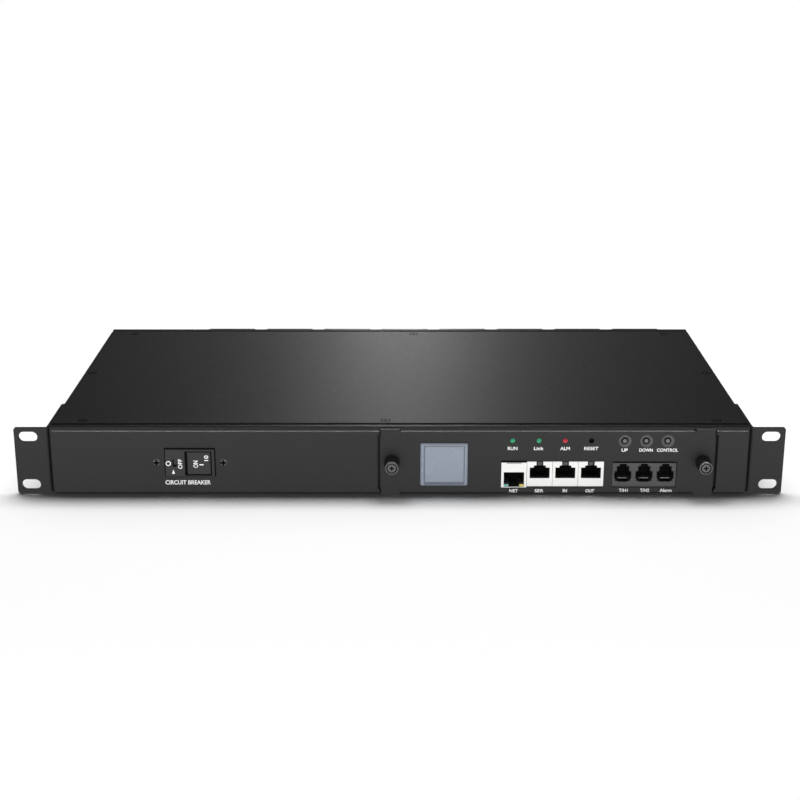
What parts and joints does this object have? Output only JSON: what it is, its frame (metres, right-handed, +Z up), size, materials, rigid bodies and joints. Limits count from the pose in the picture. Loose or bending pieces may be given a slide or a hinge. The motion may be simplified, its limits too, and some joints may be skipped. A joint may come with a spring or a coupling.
{
  "type": "rack power distribution unit",
  "caption": "Flat black rack-mount power distribution unit with a breaker, plug-in metering module, data jacks and a row of rear outlets.",
  "frame": {"origin": "centre of the four rack-ear slots, on the ears' rear face, where they meet the rack rails", "axes": "+X to the right seen from the front, +Y back into the rack, +Z up"},
  "size_m": [0.4826, 0.2683, 0.044],
  "materials": {
    "black_powder_coat": "matte",
    "black_screw": "satin",
    "black_nylon": "matte",
    "rocker_black": "satin",
    "outlet_black": "matte",
    "thumbscrew_black": "satin",
    "zinc_steel": "satin",
    "contact_brass": "satin",
    "inner_plastic": "matte",
    "lead_sheath": "matte",
    "circuit_board": "satin",
    "display_lens": "gloss",
    "green_lens": "gloss",
    "red_lens": "gloss",
    "white_plastic": "satin",
    "grey_plastic": "satin",
    "button_grey": "matte"
  },
  "bodies": {
    "chassis": {"chassis_tray": "black_powder_coat", "front_frame": "black_powder_coat", "rear_entry_plate": "black_powder_coat", "rear_panel": "black_powder_coat", "top_cover": "black_powder_coat", "cover_screws": "black_screw", "rack_ear_left": "black_powder_coat", "rack_ear_right": "black_powder_coat", "ear_screws": "black_screw", "front_panel_left": "black_powder_coat", "front_panel_right": "black_powder_coat", "breaker_body": "black_nylon", "breaker_screws": "black_screw", "thumb_nuts": "zinc_steel", "contact_strips": "contact_brass", "gland_body": "black_nylon", "gland_locknut": "black_nylon", "gland_cap": "black_nylon", "terminal_block": "inner_plastic", "power_supply": "inner_plastic", "current_transformer": "inner_plastic", "internal_leads": "lead_sheath", "backplane_socket": "inner_plastic", "backplane_board": "circuit_board", "card_guides": "black_nylon", "outlet_1": "outlet_black", "outlet_2": "outlet_black", "outlet_3": "outlet_black", "outlet_4": "outlet_black", "outlet_5": "outlet_black", "outlet_6": "outlet_black", "outlet_7": "outlet_black", "outlet_8": "outlet_black"},
    "control_module": {"module_faceplate": "black_powder_coat", "control_board": "circuit_board", "board_mounts": "zinc_steel", "display_board": "circuit_board", "lcd_lens": "display_lens", "lcd_frame": "inner_plastic", "green_lamps": "green_lens", "red_lamp": "red_lens", "switch_bodies": "inner_plastic", "net_jack": "white_plastic", "serial_jack": "white_plastic", "link_in_jack": "white_plastic", "link_out_jack": "white_plastic", "sensor_jacks": "grey_plastic", "jack_contacts": "contact_brass", "board_components": "inner_plastic", "thumb_collars": "thumbscrew_black", "module_plug": "inner_plastic"},
    "rocker": {"breaker_rocker": "rocker_black"},
    "up_button": {"up_button": "button_grey"},
    "down_button": {"down_button": "button_grey"},
    "control_button": {"control_button": "button_grey"},
    "reset_button": {"reset_button": "button_grey"},
    "ring_left": {"retaining_ring_left": "zinc_steel"},
    "ring_right": {"retaining_ring_right": "zinc_steel"},
    "thumbscrew_left": {"thumbscrew_left": "thumbscrew_black"},
    "thumbscrew_right": {"thumbscrew_right": "thumbscrew_black"}
  },
  "joints": [
    {"name": "module_slide", "type": "slide", "parent": "chassis", "child": "control_module", "axis": [0, -1, 0], "range_m": [0, 0.115]},
    {"name": "rocker_tilt", "type": "hinge", "parent": "chassis", "child": "rocker", "pos_m": [-0.13245, -0.0018, 0], "axis": [0, 0, -1], "range_deg": [0, 14]},
    {"name": "up_press", "type": "slide", "parent": "control_module", "child": "up_button", "axis": [0, 1, 0], "range_m": [0, 0.00025], "stiffness_N_per_m": 4000},
    {"name": "down_press", "type": "slide", "parent": "control_module", "child": "down_button", "axis": [0, 1, 0], "range_m": [0, 0.00025], "stiffness_N_per_m": 4000},
    {"name": "control_press", "type": "slide", "parent": "control_module", "child": "control_button", "axis": [0, 1, 0], "range_m": [0, 0.00025], "stiffness_N_per_m": 4000},
    {"name": "reset_press", "type": "slide", "parent": "control_module", "child": "reset_button", "axis": [0, 1, 0], "range_m": [0, 0.00025], "stiffness_N_per_m": 4000},
    {"name": "thumb_draw_left", "type": "slide", "parent": "control_module", "child": "ring_left", "axis": [0, -1, 0], "range_m": [0, 0.0035]},
    {"name": "thumb_turn_left", "type": "hinge", "parent": "ring_left", "child": "thumbscrew_left", "pos_m": [-0.0049, -0.0163, 0], "axis": [0, -1, 0], "range_deg": [0, 2521]},
    {"name": "thumb_draw_right", "type": "slide", "parent": "control_module", "child": "ring_right", "axis": [0, -1, 0], "range_m": [0, 0.0035]},
    {"name": "thumb_turn_right", "type": "hinge", "parent": "ring_right", "child": "thumbscrew_right", "pos_m": [0.1901, -0.0163, 0], "axis": [0, -1, 0], "range_deg": [0, 2521]}
  ],
  "couplings": [
    {"joint": "thumb_turn_left", "follows": "thumb_draw_left", "rad_per_m": 12566},
    {"joint": "thumb_turn_right", "follows": "thumb_draw_right", "rad_per_m": 12566}
  ]
}
